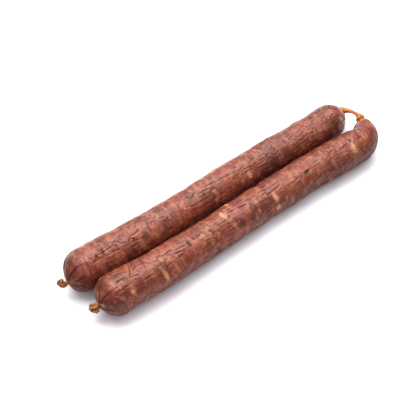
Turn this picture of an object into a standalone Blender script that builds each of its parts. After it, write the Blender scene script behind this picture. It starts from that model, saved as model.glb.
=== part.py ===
"""A pair of dried, smoked sausages that lie side by side, joined at one end by a strand of their own casing.

Metres, +Z up. +X runs from the tied ends to the linked ends, and +Y from the front sausage to the rear one.
The origin is under the middle of the pair's box, on the surface that the pair rests on.
Each sausage is turned as a straight body, lumped and pleated, then laid along its own gently bowed line.
"""

import math
from dataclasses import dataclass

import bmesh
import bpy
import numpy as np
from mathutils import Vector

COLLECTION = "knackwurst_pair"

# Driving dimensions. A sausage is about 24 mm thick and 230 mm long.
GAP = 0.0003  # left between pieces that touch
FLAT_DEPTH = 0.0004  # how far the underside has settled flat on its surface
NECK_SHIFT_REACH = 0.0140  # the length over which a neck that sits off the line eases back to it
NECK_RADIUS = 0.0016  # of the skin where the twisted casing leaves a tied end
TIP_RADIUS = 0.0015  # of the skin where the strand leaves a linked end
STRAND_RADIUS = 0.00115
STRAND_REACH_REAR = 0.0058  # how far the strand runs on along each sausage's own line before it turns
STRAND_REACH_FRONT = 0.0034
STRAND_POINTS = 16

# Mesh density.
SIDES = 36
TIED_CAP_RINGS = 6
LINKED_CAP_RINGS = 12
BODY_STEP = 0.0048
HOOK_STEP = 0.0022
KNOT_SIDES = 24
LINE_SAMPLES = 900

# Slow swellings of the dried filling: height, length along the sausage, waves round it, phase.
SWELLINGS = (
    (0.00020, 0.047, 1, 0.4),
    (0.00014, 0.029, 2, 2.1),
    (0.00012, 0.019, 3, 4.0),
    (0.00010, 0.0145, 1, 1.2),
)
# Folds of the skin that run into the tied neck, and shallower ones at the linked tip.
TIED_PLEATS = 9
TIED_PLEAT_DEPTH = 0.00045
LINKED_PLEATS = 6
LINKED_PLEAT_DEPTH = 0.00025
PLEAT_REACH = 0.010


@dataclass
class Sausage:
    """One sausage: where its line starts and how it runs, and its thickness. Angles are in degrees."""

    name: str
    start: tuple  # x, y of the line at the tied end
    neck_shift: float  # how far along Y the tied neck sits off that line
    length: float  # along the line, neck to tip
    radius: float
    club: float  # how much thicker the tied end is
    heading: float  # the line's direction at its middle, turned from +X towards +Y
    bow: float  # swing of that direction along the sausage
    hook: float  # turn of the linked end towards its neighbour
    hook_rise: float  # tilt of the linked end off the surface
    hook_start: float  # how far before the tip the turn starts
    hook_span: float  # the length in which it would be whole
    linked_cap: float  # length of the linked end's rounding
    linked_power: float  # its fullness: 2 is elliptical, less is more pointed
    rings: tuple  # bands where the casing was nipped: place along, depth, width
    phase: float


FRONT = Sausage(
    name="front_sausage",
    start=(-0.1083, -0.01078),
    neck_shift=0.0,
    length=0.2318,
    radius=0.0120,
    club=0.0013,
    heading=-1.8,
    bow=-1.9,
    hook=85.0,
    hook_rise=25.0,
    hook_start=0.0262,
    hook_span=0.0290,
    linked_cap=0.0276,
    linked_power=1.84,
    rings=((0.0900, 0.00035, 0.0030), (0.1290, 0.00045, 0.0022), (0.1705, 0.0003, 0.0030)),
    phase=0.0,
)
REAR = Sausage(
    name="rear_sausage",
    start=(-0.1143, 0.01532),
    neck_shift=-0.0022,
    length=0.2273,
    radius=0.0120,
    club=0.0014,
    heading=-1.3,
    bow=0.0,
    hook=4.0,
    hook_rise=0.0,
    hook_start=0.0240,
    hook_span=0.0240,
    linked_cap=0.0126,
    linked_power=1.85,
    rings=((0.0620, 0.0003, 0.0030), (0.1480, 0.00035, 0.0026)),
    phase=2.6,
)


@dataclass
class Knot:
    """The twisted end of the casing past a tied neck. Angles are in degrees."""

    name: str
    sausage: Sausage
    sway: float  # turn from the sausage's own line towards +Y
    droop: float  # tilt down from that line
    folds: int
    fold_depth: float  # share of the knot's radius
    twist: float  # turn of the folds over the knot's length
    outline: tuple  # distance past the neck, radius


FRONT_KNOT = Knot(
    name="front_casing_knot",
    sausage=FRONT,
    sway=-6.0,
    droop=34.0,
    folds=5,
    fold_depth=0.15,
    twist=70.0,
    outline=(
        (0.0000, 0.0014), (0.0006, 0.0018), (0.0015, 0.0027), (0.0028, 0.0032), (0.0041, 0.0032),
        (0.0052, 0.0027), (0.0056, 0.0019), (0.0052, 0.0011), (0.0044, 0.0006),
    ),
)
REAR_KNOT = Knot(
    name="rear_casing_knot",
    sausage=REAR,
    sway=44.0,
    droop=-10.0,
    folds=4,
    fold_depth=0.14,
    twist=110.0,
    outline=(
        (0.0000, 0.0014), (0.0006, 0.0018), (0.0016, 0.0023), (0.0030, 0.0022), (0.0042, 0.0021),
        (0.0054, 0.0025), (0.0064, 0.0023), (0.0065, 0.0015), (0.0056, 0.0008),
    ),
)

SKIN = ("sausage_skin", (0.27, 0.075, 0.045), 0.45)
CASING = ("bare_casing", (0.55, 0.22, 0.05), 0.4)


def clear_scene():
    """Removes the objects and collections that the scene starts with."""
    for thing in list(bpy.data.objects):
        bpy.data.objects.remove(thing)
    for group in list(bpy.data.collections):
        bpy.data.collections.remove(group)


def make_material(name, colour, roughness):
    """A plain Principled material."""
    material = bpy.data.materials.new(name)
    material.use_nodes = True
    shader = material.node_tree.nodes["Principled BSDF"]
    shader.inputs["Base Color"].default_value = (*colour, 1.0)
    shader.inputs["Roughness"].default_value = roughness
    shader.inputs["Metallic"].default_value = 0.0
    material.diffuse_color = (*colour, 1.0)
    return material


def ease(share):
    """Rises smoothly from 0 to 1 as share does."""
    share = np.clip(share, 0.0, 1.0)
    return share * share * (3.0 - 2.0 * share)


def rounding(distance, reach, power):
    """Share of the full radius at a distance from an end whose rounding is reach long."""
    left = 1.0 - np.clip(distance / reach, 0.0, 1.0)
    return np.clip(1.0 - left**power, 0.0, 1.0) ** (1.0 / power)


def body_radius(sausage, along):
    """Radius without the rounded ends: thicker towards the tied end."""
    return sausage.radius + sausage.club * (1.0 - ease(along / (0.45 * sausage.length)))


def skin_radius(sausage, along):
    """Radius of the plain turned body at a place along the sausage."""
    tied = rounding(along, sausage.radius, 2.0)
    linked = rounding(sausage.length - along, sausage.linked_cap, sausage.linked_power)
    radius = body_radius(sausage, along) * tied * linked
    near_tip = along > 0.5 * sausage.length
    return np.maximum(radius, np.where(near_tip, TIP_RADIUS, NECK_RADIUS))


def centre_line(sausage):
    """Places along the line, its points and its unit directions, from the tied neck to the linked tip."""
    along = np.linspace(0.0, sausage.length, LINE_SAMPLES)
    hooked = ease((along - sausage.length + sausage.hook_start) / sausage.hook_span)
    turn = sausage.heading + sausage.bow * np.cos(2.0 * np.pi * along / sausage.length) + sausage.hook * hooked
    turn = np.radians(turn)
    rise = np.radians(sausage.hook_rise * hooked)
    direction = np.stack([np.cos(turn) * np.cos(rise), np.sin(turn) * np.cos(rise), np.sin(rise)], axis=1)
    steps = (direction[1:] + direction[:-1]) / 2.0 * (along[1] - along[0])
    point = np.zeros_like(direction)
    point[1:] = np.cumsum(steps, axis=0)
    point[:, :2] += sausage.start
    point[:, 1] += sausage.neck_shift * np.clip(1.0 - along / NECK_SHIFT_REACH, 0.0, 1.0) ** 2
    # The underside rests on the surface, so the line drops with the thickness.
    point[:, 2] += body_radius(sausage, along) - FLAT_DEPTH
    return along, point, direction


def line_frame(sausage, along):
    """Point, direction, right hand and upward axes, and bend, of the line at each of the places given."""
    places, points, directions = centre_line(sausage)
    bends = np.gradient(directions, places, axis=0)

    def read(values):
        return np.stack([np.interp(along, places, values[:, axis]) for axis in range(3)], axis=1)

    point, direction, bend = read(points), read(directions), read(bends)
    direction /= np.linalg.norm(direction, axis=1)[:, None]
    right = np.cross(direction, (0.0, 0.0, 1.0))
    right /= np.linalg.norm(right, axis=1)[:, None]
    return point, direction, right, np.cross(right, direction), bend


def relief(sausage, along, angle):
    """Height of the skin above the plain turned body: swellings, nipped rings and pleated ends."""
    height = np.zeros_like(along)
    for size, wave, round_count, phase in SWELLINGS:
        phase = phase + sausage.phase
        lengthways = np.sin(2.0 * np.pi * along / wave + phase)
        height += size * lengthways * np.cos(round_count * angle + 1.7 * phase + 1.9 * along / wave)
    for place, depth, width in sausage.rings:
        offset = along - place - 0.0012 * np.sin(angle + sausage.phase)
        height -= depth * np.exp(-((offset / width) ** 2))
    # The relief fades out where the ends close up, and the pleats take over.
    height *= rounding(along, 0.016, 2.0) * rounding(sausage.length - along, 0.020, 2.0)
    tied = ease(along / 0.0015) * np.exp(-((along / PLEAT_REACH) ** 2))
    height += TIED_PLEAT_DEPTH * tied * np.cos(TIED_PLEATS * angle + 0.9 * np.sin(2.0 * angle + sausage.phase))
    left = sausage.length - along
    linked = ease(left / 0.0020) * np.exp(-((left / PLEAT_REACH) ** 2))
    height += LINKED_PLEAT_DEPTH * linked * np.cos(LINKED_PLEATS * angle + sausage.phase)
    return height


def ring_places(sausage):
    """Where the body's rings stand: close together on the rounded ends and on the hook, wider between."""
    reach = sausage.radius
    tied = [reach * (1.0 - math.cos(0.5 * math.pi * i / TIED_CAP_RINGS)) for i in range(TIED_CAP_RINGS + 1)]
    cap = sausage.linked_cap
    turns = range(LINKED_CAP_RINGS + 1)
    linked = [sausage.length - cap * (1.0 - math.cos(0.5 * math.pi * i / LINKED_CAP_RINGS)) for i in turns]
    hook_start = sausage.length - max(sausage.hook_start + 0.004, cap)
    middle_count = round((hook_start - reach) / BODY_STEP)
    middle = [reach + (hook_start - reach) * i / middle_count for i in range(1, middle_count + 1)]
    bridge_count = round((sausage.length - cap - hook_start) / HOOK_STEP)
    bridge = [hook_start + (sausage.length - cap - hook_start) * i / bridge_count for i in range(1, bridge_count)]
    places = tied + middle + bridge + linked[::-1]
    kept = [places[0]]
    for place in places[1:]:
        if place - kept[-1] > 0.0004:
            kept.append(place)
    return kept


def turned_mesh(name, outline, sides):
    """Turns an outline of (distance down, radius) about Z, with flat ends, and returns the mesh."""
    profile = bmesh.new()
    last = None
    closed_outline = [(outline[0][0], 0.0), *outline, (outline[-1][0], 0.0)]
    for distance, radius in closed_outline:
        corner = profile.verts.new((radius, 0.0, -distance))
        if last is not None:
            profile.edges.new((last, corner))
        last = corner
    mesh = bpy.data.meshes.new(name)
    profile.to_mesh(mesh)
    profile.free()
    turning = bpy.data.objects.new(name, mesh)
    bpy.context.scene.collection.objects.link(turning)
    screw = turning.modifiers.new("turn", "SCREW")
    screw.axis = "Z"
    screw.angle = 2.0 * math.pi
    screw.steps = sides
    screw.render_steps = sides
    screw.use_merge_vertices = True
    screw.merge_threshold = 0.00001
    bpy.context.view_layer.update()
    graph = bpy.context.evaluated_depsgraph_get()
    turned = bpy.data.meshes.new_from_object(turning.evaluated_get(graph))
    bpy.data.objects.remove(turning)
    bpy.data.meshes.remove(mesh)
    turned.name = name
    return turned


def read_points(mesh):
    """The mesh's points as an array."""
    points = np.empty(len(mesh.vertices) * 3)
    mesh.vertices.foreach_get("co", points)
    return points.reshape(-1, 3)


def write_points(mesh, points):
    """Moves the mesh's points."""
    mesh.vertices.foreach_set("co", points.astype(np.float32).ravel())
    mesh.update()


def add_object(name, mesh, material, collection):
    """Puts a finished mesh in the collection, shaded smooth."""
    mesh.materials.clear()
    mesh.materials.append(material)
    mesh.shade_smooth()
    thing = bpy.data.objects.new(name, mesh)
    collection.objects.link(thing)
    return thing


def around_line(sausage, along, offset_right, offset_up):
    """Places points beside the sausage's line, kept short of the inside of a tight bend."""
    point, _, right, up, bend = line_frame(sausage, along)
    offset = offset_right[:, None] * right + offset_up[:, None] * up
    tightness = np.linalg.norm(bend, axis=1) + 1e-9
    inward = bend / tightness[:, None]
    reach = np.einsum("ij,ij->i", offset, inward)
    most = 0.85 / tightness
    held = (np.maximum(reach, 1e-7) ** -4 + most**-4) ** -0.25
    offset += (np.where(reach > 0.0, held, reach) - reach)[:, None] * inward
    return point + offset


def make_sausage(sausage, material, collection):
    """Turns the straight body, gives it its relief, lays it along its line and rests it flat."""
    outline = [(place, float(skin_radius(sausage, np.array(place)))) for place in ring_places(sausage)]
    mesh = turned_mesh(sausage.name, outline, SIDES)
    straight = read_points(mesh)
    along = -straight[:, 2]
    angle = np.arctan2(straight[:, 1], straight[:, 0])
    plain = np.hypot(straight[:, 0], straight[:, 1])
    raised = plain * (1.0 + relief(sausage, along, angle) / skin_radius(sausage, along))
    placed = around_line(sausage, along, raised * np.cos(angle), raised * np.sin(angle))
    placed[:, 2] = np.maximum(placed[:, 2], 0.0)
    write_points(mesh, placed)
    return add_object(sausage.name, mesh, material, collection)


def make_knot(knot, material, collection):
    """Turns a knot's outline, folds it and hangs it from its sausage's tied neck."""
    mesh = turned_mesh(knot.name, knot.outline, KNOT_SIDES)
    straight = read_points(mesh)
    past = -straight[:, 2]
    longest = max(distance for distance, _ in knot.outline)
    angle = np.arctan2(straight[:, 1], straight[:, 0])
    turned = knot.folds * (angle + math.radians(knot.twist) * past / longest)
    folds = 1.0 + knot.fold_depth * ease(past / 0.002) * np.cos(turned)
    point, direction, right, up, _ = line_frame(knot.sausage, np.array([0.0]))
    sway, droop = math.radians(knot.sway), math.radians(knot.droop)
    back = -direction[0] * math.cos(sway) - right[0] * math.sin(sway)
    away = back * math.cos(droop) - up[0] * math.sin(droop)
    lift = up[0] * math.cos(droop) + back * math.sin(droop)
    side = np.cross(away, lift)
    spread = folds[:, None] * (straight[:, :1] * side + straight[:, 1:2] * lift)
    # The first ring lies against the skin's flat neck, so it stays square to the sausage's own line.
    square = np.clip(1.0 - past / 0.0015, 0.0, 1.0)[:, None]
    level = straight[:, :1] * -right[0] + straight[:, 1:2] * up[0]
    spread = spread * (1.0 - square) + level * square
    start = point[0] - direction[0] * GAP
    write_points(mesh, start + away * past[:, None] + spread)
    return add_object(knot.name, mesh, material, collection)


def strand_point(share, corners):
    """A point on the smooth curve that leaves the first corner towards the second and ends from the third."""
    start, first, second, end = corners
    left = 1.0 - share
    return start * left**3 + first * 3.0 * left**2 * share + second * 3.0 * left * share**2 + end * share**3


def make_strand(name, material, collection):
    """The strand of empty casing between the linked tips, flared where it meets each of them."""
    corners = []
    for sausage, reach in ((REAR, STRAND_REACH_REAR), (FRONT, STRAND_REACH_FRONT)):
        point, direction, _, _, _ = line_frame(sausage, np.array([sausage.length]))
        root = Vector(point[0] + direction[0] * GAP)
        corners.append((root, root + Vector(direction[0]) * reach))
    corners = (corners[0][0], corners[0][1], corners[1][1], corners[1][0])
    curve = bpy.data.curves.new(name, "CURVE")
    curve.dimensions = "3D"
    curve.bevel_depth = STRAND_RADIUS
    curve.bevel_resolution = 2
    curve.use_fill_caps = True
    spline = curve.splines.new("POLY")
    spline.points.add(STRAND_POINTS - 1)
    for index, point in enumerate(spline.points):
        share = index / (STRAND_POINTS - 1)
        point.co = (*strand_point(share, corners), 1.0)
        end_flare = math.exp(-((min(share, 1.0 - share) / 0.10) ** 2))
        point.radius = 1.0 + 0.7 * end_flare
    curve.materials.append(material)
    thing = bpy.data.objects.new(name, curve)
    collection.objects.link(thing)
    return thing


def main():
    clear_scene()
    collection = bpy.data.collections.new(COLLECTION)
    bpy.context.scene.collection.children.link(collection)
    skin = make_material(*SKIN)
    casing = make_material(*CASING)
    make_sausage(FRONT, skin, collection)
    make_sausage(REAR, skin, collection)
    make_knot(FRONT_KNOT, casing, collection)
    make_knot(REAR_KNOT, casing, collection)
    make_strand("casing_link", casing, collection)


main()
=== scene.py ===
"""Looks for a linked pair of dried, smoked sausages: wrinkled skins, twisted ends and a strand of casing.

Metres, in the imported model's own frame: +X runs from the tied ends to the linked ends, +Y from the front
sausage to the rear one, and +Z up. Each piece is turned straight, given its folds and laid along its line.
"""

import math
import random
from dataclasses import dataclass

import bmesh
import bpy
import numpy as np
from bpy.props import FloatProperty, FloatVectorProperty, IntProperty, PointerProperty
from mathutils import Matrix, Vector, noise


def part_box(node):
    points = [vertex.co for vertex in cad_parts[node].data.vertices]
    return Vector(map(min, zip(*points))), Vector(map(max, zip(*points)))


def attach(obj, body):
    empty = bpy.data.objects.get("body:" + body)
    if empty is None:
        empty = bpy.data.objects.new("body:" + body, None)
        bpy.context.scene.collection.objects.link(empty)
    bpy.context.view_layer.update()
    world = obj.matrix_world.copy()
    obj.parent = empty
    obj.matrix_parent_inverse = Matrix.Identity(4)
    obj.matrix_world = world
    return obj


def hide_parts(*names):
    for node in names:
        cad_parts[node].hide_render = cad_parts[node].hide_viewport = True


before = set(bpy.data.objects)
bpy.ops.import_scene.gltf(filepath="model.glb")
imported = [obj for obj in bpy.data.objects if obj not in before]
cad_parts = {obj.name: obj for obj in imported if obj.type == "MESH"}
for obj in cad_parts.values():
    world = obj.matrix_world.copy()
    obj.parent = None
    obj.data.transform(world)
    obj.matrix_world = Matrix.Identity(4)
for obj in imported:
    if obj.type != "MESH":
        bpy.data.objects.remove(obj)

bl_info = {
    "name": "Dried sausage pair",
    "version": (1, 0, 0),
    "blender": (4, 5, 0),
    "location": "3D View > Sidebar > Sausages",
    "description": "Builds the skins, knots and casing strand of a linked pair of dried sausages",
    "category": "Object",
}

BODY = "root"
SKIN_SLOT = "sausage_skin"
CASING_SLOT = "bare_casing"
MM = 0.001
UP = (0.0, 0.0, 1.0)
LINE_SAMPLES = 900
KNOT_STEPS = 60
SMALL_FOLDS = 150  # short creases and folds on each sausage
FAR_FLECKS, NEAR_FLECKS, SPECKS = 44, 20, 24  # behind and underneath, in front and on top, tiny ones anywhere
PATTERN_SEED = 1  # without it, noise vectors start from the clock
FIT = 0.0020  # a skin may leave the box of its solid by this much
LIGHT_DISTANCE = 1.5

# Changes along a sausage: where each starts, in metres from the tied neck, and the length that it takes.
CAP_START, CAP_FADE = 0.003, 0.009  # the painted shade on the tied end's rounding fades
BOLD_START, BOLD_FADE = 0.125, 0.045  # the bold cracks fade
LINKED_START = 0.130  # the linked part starts, with finer wrinkles and painted shade on its sides
FINE_GROWTH = 0.030
END_SHADE_GROWTH = 0.020
TIP_START, TIP_GROWTH = 0.032, 0.022  # the calmer tip starts; counted back from the tip

# The strand of casing.
STRAND_SWELL = 1.05  # its thickness next to its solid's
STRAND_FLARE = 1.6  # how much of its thickness it gains at its ends
REAR_FLARE, FRONT_FLARE = 0.0040, 0.0026  # the lengths over which it does
STRAND_OVERLAP = 0.0022  # how far it runs into each tip

# The solids' own sizes, which the looks follow.
GAP = 0.0003
FLAT_DEPTH = 0.0004
NECK_SHIFT_REACH = 0.0140
NECK_RADIUS = 0.0016
TIP_RADIUS = 0.0015
STRAND_RADIUS = 0.00115
STRAND_REACH_REAR = 0.0058
STRAND_REACH_FRONT = 0.0034

# Slow swellings of the dried filling: height, length along the sausage, waves round it, phase.
SWELLINGS = (
    (0.00020, 0.047, 1, 0.4),
    (0.00014, 0.029, 2, 2.1),
    (0.00012, 0.019, 3, 4.0),
    (0.00010, 0.0145, 1, 1.2),
)
TIED_PLEATS = 9
TIED_PLEAT_DEPTH = 0.00045
LINKED_PLEATS = 6
LINKED_PLEAT_DEPTH = 0.00025
PLEAT_REACH = 0.010


@dataclass(frozen=True)
class Sausage:
    """One sausage: its line, its thickness and its own creases and flecks.

    Angles are in degrees, and lengths in metres except in creases and flecks. Round the skin,
    0 degrees is the side towards -Y, 90 the top and 180 the side towards +Y.
    """

    node: str
    start: tuple  # x, y of the line at the tied end
    neck_shift: float  # how far along Y the tied neck sits off that line
    length: float  # along the line, neck to tip
    radius: float
    club: float  # how much thicker the tied end is
    heading: float  # the line's direction at its middle, turned from +X towards +Y
    bow: float  # swing of that direction along the sausage
    sags: tuple  # places where the dried sausage sags towards -Y: place along, how far, half its length
    hook: float  # turn of the linked end towards its neighbour
    hook_rise: float  # tilt of the linked end off the surface
    hook_start: float  # how far before the tip the turn starts
    hook_span: float  # the length in which it would be whole
    linked_cap: float  # length of the linked end's rounding
    linked_power: float  # its fullness: 2 is elliptical, less is more pointed
    rings: tuple  # bands where the casing was nipped: place along, depth, width
    phase: float
    creases: tuple  # path of (along, angle) marks, depth (less than 0 is a raised fold), width; in mm
    flecks: dict  # by kind: along, angle, length, width, turn from the sausage's own direction; in mm


FRONT = Sausage(
    node="front_sausage",
    start=(-0.1083, -0.01078),
    neck_shift=0.0,
    length=0.2318,
    radius=0.0120,
    club=0.0013,
    heading=-1.8,
    bow=-1.9,
    sags=((0.0460, 0.0008, 0.020), (0.2020, 0.0013, 0.024)),
    hook=85.0,
    hook_rise=25.0,
    hook_start=0.0262,
    hook_span=0.0290,
    linked_cap=0.0276,
    linked_power=1.84,
    rings=((0.0900, 0.00035, 0.0030), (0.1290, 0.00045, 0.0022), (0.1705, 0.0003, 0.0030)),
    phase=0.0,
    creases=(
        (((0.5, 55), (2.3, 69), (5.1, 70), (9.4, 69)), 0.81, 0.58),
        (((0.2, 333), (2.5, 370), (5.8, 367)), 0.61, 0.55),
        (((0.2, 68), (2.8, 104), (6.8, 114)), 0.57, 0.50),
        (((0.3, 125), (3.0, 138), (8.0, 143)), 0.30, 0.54),
        (((0.3, 170), (3.0, 178), (9.0, 184)), 0.40, 0.60),
        (((0.3, 220), (3.0, 228), (8.0, 226)), 0.61, 0.54),
        (((0.3, 280), (3.0, 284), (9.0, 292)), 0.61, 0.54),
        (((0.3, 24), (1.8, 41)), -0.55, 1.02),
        (((13.1, 86), (16.2, 88), (20.8, 87)), 0.32, 0.48),
        (((10.2, 114), (16.7, 112), (22.9, 102)), 0.32, 0.48),
        (((25.9, 117), (24.1, 92), (22.1, 81)), 0.35, 0.46),
        (((25.9, 96), (30.3, 106)), 0.35, 0.46),
        (((33.9, 123), (34.4, 105), (33.6, 78)), 0.35, 0.48),
        (((49.4, 92), (54.3, 99)), 0.38, 0.46),
        (((68.9, 112), (70.0, 82), (78.2, 88)), 0.35, 0.46),
        (((99.0, 97), (104.5, 96)), 0.32, 0.46),
        (((106.5, 92), (110.0, 88), (113.6, 90)), 0.41, 0.50),
        (((105.0, 112), (109.0, 111), (112.4, 114)), 0.32, 0.46),
        (((156.5, 105), (161.0, 104)), 0.32, 0.46),
        (((182.5, 86), (187.3, 88)), 0.32, 0.46),
        (((190.0, 79), (194.0, 82), (198.6, 84)), 0.38, 0.48),
        (((204.0, 82), (208.0, 80), (211.2, 84)), 0.35, 0.48),
        (((123.3, 53), (129.0, 55)), -0.16, 0.50),
        (((137.4, 48), (140.0, 47), (142.8, 45)), -0.18, 0.50),
        (((150.6, 58), (155.4, 58)), -0.16, 0.50),
        (((158.6, 55), (163.0, 56), (166.4, 57)), -0.16, 0.50),
    ),
    flecks={
        "fat": (
            (42.9, 34, 2.6, 9.4, 4), (19.5, 41, 2.3, 4.4, 8), (95.8, 100, 3.4, 8.2, 2),
            (132.5, 55, 3.3, 7.4, 3), (132.0, 17, 3.6, 4.6, 0), (199.6, 60, 3.6, 8.6, -8),
            (200.0, 50, 4.6, 4.0, 0),
        ),
        "tan": (
            (51.1, 38, 2.8, 8.2, 6), (53.2, 68, 4.0, 4.4, 0), (44.8, 84, 2.8, 4.6, 24),
            (12.0, 40, 3.0, 2.6, 0), (98.2, 56, 3.4, 4.4, 0), (117.6, 46, 2.8, 4.0, 0),
            (115.6, 116, 4.4, 5.6, 0), (119.4, 80, 3.2, 6.0, 0), (150.2, 88, 2.4, 8.0, 0),
            (170.0, 106, 4.6, 5.0, 0), (75.5, 78, 3.4, 4.2, 0), (155.0, 46, 2.4, 5.0, 0),
            (168.4, 50, 3.4, 4.4, 0), (165.5, 14, 3.2, 5.6, 0), (181.5, 48, 2.8, 4.6, 0),
            (222.4, 80, 2.8, 2.4, 0), (224.5, 60, 4.0, 5.0, 0),
        ),
        "herb": (
            (65.5, 82, 2.4, 5.4, 6), (160.8, 68, 6.0, 2.4, 6), (200.4, 90, 1.7, 4.6, -18),
        ),
        "smoke": (
            (64.2, 21, 2.8, 4.6, 0), (39.8, 25, 3.6, 3.0, 0), (24.7, 6, 2.8, 3.4, 0),
            (103.4, 40, 5.6, 5.0, 0), (113.0, 20, 4.4, 2.8, 0),
        ),
        "pepper": (
            (210.1, 24, 1.7, 2.2, 0), (6.1, 28, 1.7, 2.4, 0),
        ),
        "pale": (
            (0.9, 34, 4.6, 2.4, 0), (227.5, 150, 4.5, 4.0, 0), (220.5, 148, 9.0, 2.2, 0),
        ),
        "amber": (
            (2.2, 150, 7.0, 4.2, 0), (4.0, 186, 7.0, 3.2, 0), (2.0, 110, 4.4, 2.4, 0),
            (230.0, 95, 4.0, 8.0, 0),
        ),
    },
)
REAR = Sausage(
    node="rear_sausage",
    start=(-0.1143, 0.01532),
    neck_shift=-0.0022,
    length=0.2273,
    radius=0.0120,
    club=0.0014,
    heading=-1.3,
    bow=0.0,
    sags=((0.0560, 0.0009, 0.022), (0.0860, 0.0007, 0.018), (0.1960, 0.0013, 0.022)),
    hook=4.0,
    hook_rise=0.0,
    hook_start=0.0240,
    hook_span=0.0240,
    linked_cap=0.0126,
    linked_power=1.85,
    rings=((0.0620, 0.0003, 0.0030), (0.1480, 0.00035, 0.0026)),
    phase=2.6,
    creases=(
        (((0.2, 79), (2.2, 76), (5.5, 75), (10.6, 74)), 0.74, 0.55),
        (((0.2, 99), (3.2, 96), (8.8, 111)), 0.62, 0.53),
        (((0.5, 148), (3.5, 140), (6.0, 138)), 0.57, 0.50),
        (((2.0, 44), (6.3, 39), (9.0, 37)), 0.49, 0.50),
        (((0.5, 20), (3.0, 14), (6.0, 12)), 0.46, 0.50),
        (((4.6, 20), (6.2, 12), (7.6, 2)), 0.32, 0.46),
        (((0.5, 330), (3.0, 332), (7.0, 335)), 0.61, 0.54),
        (((0.5, 280), (3.0, 282), (8.0, 285)), 0.68, 0.60),
        (((0.5, 235), (3.0, 233), (8.0, 230)), 0.68, 0.60),
        (((0.5, 190), (3.0, 188), (9.0, 186)), 0.68, 0.60),
        (((0.5, 54), (2.2, 52), (6.2, 46)), -0.60, 0.78),
        (((27.0, 84), (26.4, 74), (25.6, 62)), 0.35, 0.46),
    ),
    flecks={
        "herb": (
            (20.9, 72, 2.8, 3.0, 30), (103.2, 68, 1.6, 3.8, 6),
        ),
        "smoke": (
            (54.2, 50, 4.2, 6.0, 0), (224.6, 56, 2.0, 3.4, 0),
        ),
        "pepper": (
            (47.1, 63, 1.2, 2.2, 0),
        ),
        "fat": (
            (138.0, 44, 3.0, 5.4, 10),
        ),
        "tan": (
            (202.9, 51, 3.8, 4.4, 0), (189.0, 45, 3.4, 4.0, 0), (109.5, 28, 3.2, 3.8, 0),
            (62.0, 40, 3.6, 5.0, 0),
        ),
        "pale": (
            (218.0, 36, 4.6, 7.5, 10), (215.5, 17, 4.6, 9.0, 20),
        ),
        "amber": (
            (2.6, 50, 7.6, 1.5, -6), (1.6, 128, 5.0, 2.6, 0), (3.6, 160, 6.4, 3.0, 0),
            (226.0, 45, 4.0, 5.0, 0),
        ),
    },
)


@dataclass(frozen=True)
class Knot:
    """The twisted end of the casing past a tied neck. Angles are in degrees."""

    node: str
    sausage: Sausage
    sway: float  # turn from the sausage's own line towards +Y
    bend: float  # how much further it has turned that way at its mouth
    droop: float  # tilt down from that line
    rise: float  # how much it has tilted up again at its mouth
    folds: int
    fold_depth: float  # share of the knot's radius
    twist: float  # turn of the folds over the knot's length
    flatness: float  # how much thinner the knot is one way
    curl: float  # sideways swing of its middle
    outline: tuple  # distance past the neck, radius, out along the outside and back down the mouth
    seed: float


FRONT_KNOT = Knot(
    node="front_casing_knot",
    sausage=FRONT,
    sway=-6.0,
    bend=0.0,
    droop=42.0,
    rise=0.0,
    folds=5,
    fold_depth=0.17,
    twist=80.0,
    flatness=0.06,
    curl=0.0,
    outline=(
        (-0.0012, 0.0015), (0.0000, 0.0014), (0.0006, 0.0017), (0.0015, 0.0026), (0.0028, 0.0032),
        (0.0041, 0.0033), (0.0052, 0.0030), (0.0057, 0.0024), (0.0055, 0.0019), (0.0046, 0.0014),
        (0.0034, 0.0007),
    ),
    seed=3.0,
)
REAR_KNOT = Knot(
    node="rear_casing_knot",
    sausage=REAR,
    sway=-4.0,
    bend=92.0,
    droop=16.0,
    rise=58.0,
    folds=4,
    fold_depth=0.18,
    twist=110.0,
    flatness=0.08,
    curl=0.0005,
    outline=(
        (-0.0012, 0.0015), (0.0000, 0.0014), (0.0006, 0.0017), (0.0016, 0.0022), (0.0030, 0.0020),
        (0.0042, 0.0019), (0.0054, 0.0024), (0.0063, 0.0026), (0.0067, 0.0022), (0.0063, 0.0017),
        (0.0052, 0.0012), (0.0040, 0.0006),
    ),
    seed=11.0,
)


def colour_property(name, description, default):
    """A colour in the sidebar."""
    return FloatVectorProperty(name=name, description=description, subtype="COLOR", size=3, default=default)


def length_property(name, description, default):
    """A length in the sidebar."""
    return FloatProperty(name=name, description=description, default=default, unit="LENGTH")


def power_property(name, description, default):
    """A light's power in the sidebar."""
    return FloatProperty(name=name, description=description, default=default, unit="POWER")


def angle_property(name, description, degrees):
    """An angle in the sidebar."""
    return FloatProperty(name=name, description=description, default=math.radians(degrees), subtype="ANGLE")


def dullness_property(default):
    """How dull a surface is, in the sidebar."""
    return FloatProperty(
        name="Roughness", description="How dull the surface is", default=default, min=0.0, max=1.0,
        subtype="FACTOR",
    )


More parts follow.
